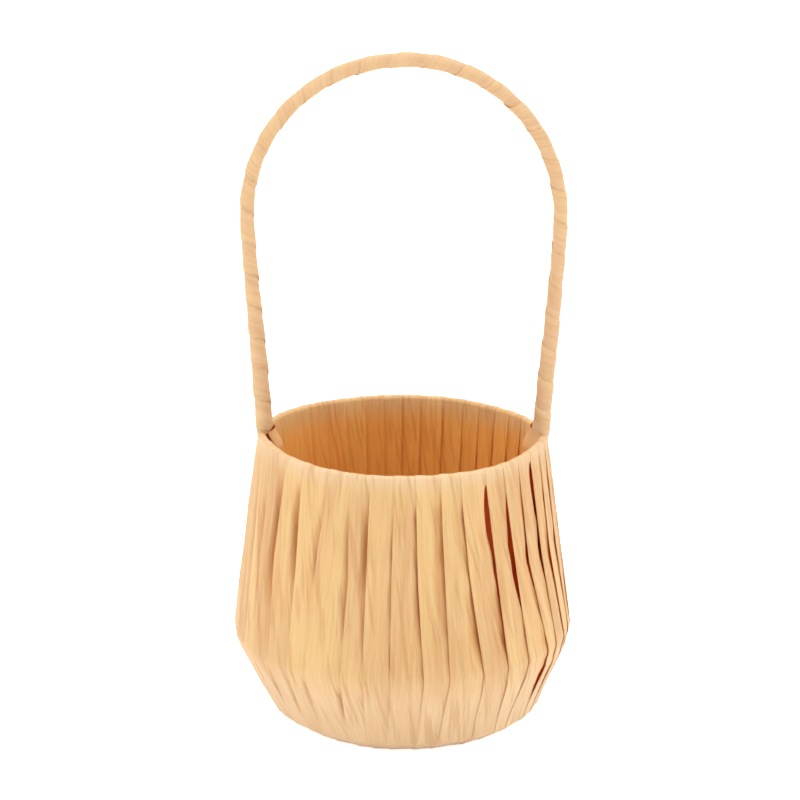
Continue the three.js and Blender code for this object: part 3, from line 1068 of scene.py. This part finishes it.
def make_leg_cover(name, side, look):
    """The strip of ribbon that covers a leg of the handle inside the basket."""
    low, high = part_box(name)
    across = np.linspace(-1, 1, STRIP_COLUMNS)[None, :]
    top = BODY_HEIGHT + STRIP_TOP
    down = np.linspace(0, 1, STRIP_ROWS)[:, None]
    height = top + (low.z - top) * down
    inner, outer = sorted((abs(low.x), abs(high.x)))
    straight = inner + (outer - inner) * (height - low.z) / (high.z - low.z) - STRIP_SET_IN
    reach = straight - np.interp(height / MM, STRIP_HEIGHTS, STRIP_SHIFTS) * MM
    bend = np.interp(height / MM, STRIP_HEIGHTS, STRIP_BENDS)
    half = STRIP_HALF_WIDTH * (1 + 0.06 * smooth_noise(down * 4, side, 51))
    wave = 0.12 * smooth_noise(across * 3, down * 6, side + 61)
    frontal = side * across
    frontal = frontal + STRIP_REACHES[side] * np.clip(frontal, 0, 1) ** 2
    drop = 1.7 * (1 + frontal) * ease(height, BODY_HEIGHT - 10 * MM, top)
    places = np.stack(
        [
            side * (reach + (bend * np.minimum(frontal**2, 1.25) + wave) * MM),
            -half * frontal,
            height - drop * MM,
        ],
        axis=-1,
    )
    normals = np.cross(np.gradient(places, axis=1), np.gradient(places, axis=0))
    normals /= np.linalg.norm(normals, axis=-1, keepdims=True)
    normals *= -side * np.sign(normals[..., :1])
    lie = np.stack(
        [(across + 1) * 4 + 0 * down, down * 106 + 0 * across, 60 + side + 0 * down * across], axis=-1
    )
    piece = name.replace("leg_cover", "leg_strip")
    # Painted warm shade inside the basket, stronger further down
    inner_shade = 0.35 + 0.65 * ease(height, BODY_HEIGHT, 0.9 * BODY_HEIGHT) + 0 * across
    tint = np.stack([inner_shade, 0 * inner_shade, 0 * inner_shade], axis=-1)
    made = ribbon_mesh(piece, places, normals, lie, RIBBON_THICKNESS, look, tint)
    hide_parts(name)


def floor_rows(steps, turned):
    """The floor winding's rows: the lane, the way along it from -1 to 1, and the facing, up and outwards.

    It runs over the board, down round its far edge, back under it towards the next lane and up again. Each
    way has twice as many steps, and each edge is turned in its own number of steps.
    """
    rows = []
    for lane in range(-1, FLOOR_LANES):
        for k in range(-steps, steps + 1):
            rows.append((lane, k / steps, 1.0, 0.0))
        for k in range(1, turned):
            half_turn = math.pi * k / turned
            rows.append((lane, 1.0, math.cos(half_turn), math.sin(half_turn)))
        for k in range(steps, -steps - 1, -1):
            rows.append((lane + (steps - k) / (2 * steps), k / steps, -1.0, 0.0))
        for k in range(1, turned):
            half_turn = math.pi * k / turned
            rows.append((lane + 1, -1.0, -math.cos(half_turn), math.sin(half_turn)))
    # The winding starts and ends under the board
    rows = np.array(rows)[2 * steps + turned : 1 - turned]
    return [rows[:, k : k + 1] for k in range(4)]


def make_floor(look):
    """The ribbon wound round the floor board, lane beside lane."""
    low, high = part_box("floor_ribbon")
    radius = (high.y - low.y) / 2 + FLOOR_SPREAD
    pitch = 2 * radius / FLOOR_LANES
    across = np.linspace(0, 1, FLOOR_COLUMNS)[None, :]
    top, bottom = high.z - FLOOR_SET_IN, low.z + FLOOR_SET_IN
    roll = (top - bottom) / 2
    lane, run, up, outwards = floor_rows(steps=8, turned=6)
    share = across * FLOOR_RIBBON
    x = -radius + (lane + share) * pitch
    # What would lie beyond the board's side is squeezed into the last millimetre
    gathered, spare = radius - 1.2 * MM, 1 * MM
    beyond = np.clip(np.abs(x) - gathered, 0, None)
    x = np.sign(x) * (np.minimum(np.abs(x), gathered) + spare * (1 - np.exp(-beyond / spare)))
    shortest = 6 * MM
    edge = np.sqrt(np.clip(radius**2 - x**2, shortest**2, None)) - roll
    arched = 0.3 * (1 - (2 * across - 1) ** 2)
    ruffle = 0.08 * smooth_noise(across * 5, run * 3 + lane * 7, 71)
    lap = (0.45 - 0.9 * across + arched + ruffle) * MM
    y = run * edge + outwards * np.sign(run) * (roll + lap)
    z = (top + bottom) / 2 + up * (roll + lap)
    places = np.stack([x + 0 * y, y, z], axis=-1)
    normals = np.stack([0 * y, outwards * np.sign(run) + 0 * y, up + 0 * y], axis=-1)
    lie = np.stack([share * pitch / MM + 0 * y, y / MM + lane * 90, 80 + lane + 0 * y], axis=-1)
    # The floor's ribbon takes the full painted warm shade of the inside
    made = ribbon_mesh("floor_turns", places, normals, lie, RIBBON_THICKNESS, look, (1, 0, 0))
    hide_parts("floor_ribbon")


# The studio

# The surround's own strength
WORLD_LIGHT = 0.17

# Each soft light's azimuth from the front, elevation, the cosine where it fades out, and strength
SOFT_LIGHTS = [
    (-60, 8, 0.62, 1.6),
    (60, 8, 0.62, 1.5),
    (120, 15, 0.62, 0.9),
    (-120, 15, 0.62, 0.7),
    (0, 90, 0.5, 2.8),
]


def toward(azimuth, elevation):
    """The direction at an azimuth from the front and an elevation, both in degrees."""
    around, up = math.radians(azimuth - 90), math.radians(elevation)
    return Vector((math.cos(around) * math.cos(up), math.sin(around) * math.cos(up), math.sin(up)))


def make_studio():
    """A white floor that keeps the object's shadow, and a white surround with broad soft lights in it."""
    look = Look("white_floor")
    # The camera and reflections see the floor glow white, and the object gets only a little of its light
    camera = look.node("ShaderNodeLightPath")
    gloss = Wire(look, camera.socket.node.outputs["Is Glossy Ray"])
    look.set(
        Base_Color=(0.93, 0.93, 0.93, 1.0),
        Roughness=0.9,
        Emission_Color=(1, 1, 1, 1),
        Emission_Strength=camera * 0.6 + gloss + 0.15,
    )
    bpy.ops.mesh.primitive_plane_add(size=8, location=(0, 0, 0))
    ground = bpy.context.object
    ground.name = "white_floor"
    ground.data.materials.append(look.material)

    world = bpy.data.worlds.new("surround")
    bpy.context.scene.world = world
    world.use_nodes = True
    nodes = Nodes(world.node_tree)
    background = world.node_tree.nodes["Background"]
    background.inputs["Color"].default_value = (1, 1, 1, 1)
    direction = nodes.node("ShaderNodeTexCoord")
    light = WORLD_LIGHT
    for azimuth, elevation, edge, strength in SOFT_LIGHTS:
        inputs = {0: direction, 1: toward(azimuth, elevation)}
        nearness = nodes.node("ShaderNodeVectorMath", {"operation": "DOT_PRODUCT"}, inputs, output=1)
        light = nodes.ramp(nearness, edge, 1.0, strength) + light
    # The camera sees the surround white all round
    camera = nodes.node("ShaderNodeLightPath")
    total = nodes.node("ShaderNodeMath", {"operation": "MAXIMUM"}, {0: camera * 1.1, 1: light})
    nodes.feed(background.inputs["Strength"], total)


# The scene

make_camera()
raffia = ribbon_look("raffia_ribbon", srgb(225, 197, 142), srgb(207, 167, 109))
raffia_handle = ribbon_look("raffia_on_handle", srgb(227, 201, 156), srgb(213, 176, 127), 0.2)
wire = wire_look()
board = board_look()
make_wall(raffia)
make_handle(raffia_handle)
make_leg_cover("leg_cover_left", -1, raffia_handle)
make_leg_cover("leg_cover_right", 1, raffia_handle)
make_floor(raffia_handle)
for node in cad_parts:
    metal = node.endswith("_ring") or node.startswith("upright") or node == "handle_core"
    if metal or node == "floor_board":
        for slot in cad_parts[node].material_slots:
            slot.material = wire if metal else board
make_studio()
bpy.context.scene.view_settings.view_transform = "Standard"
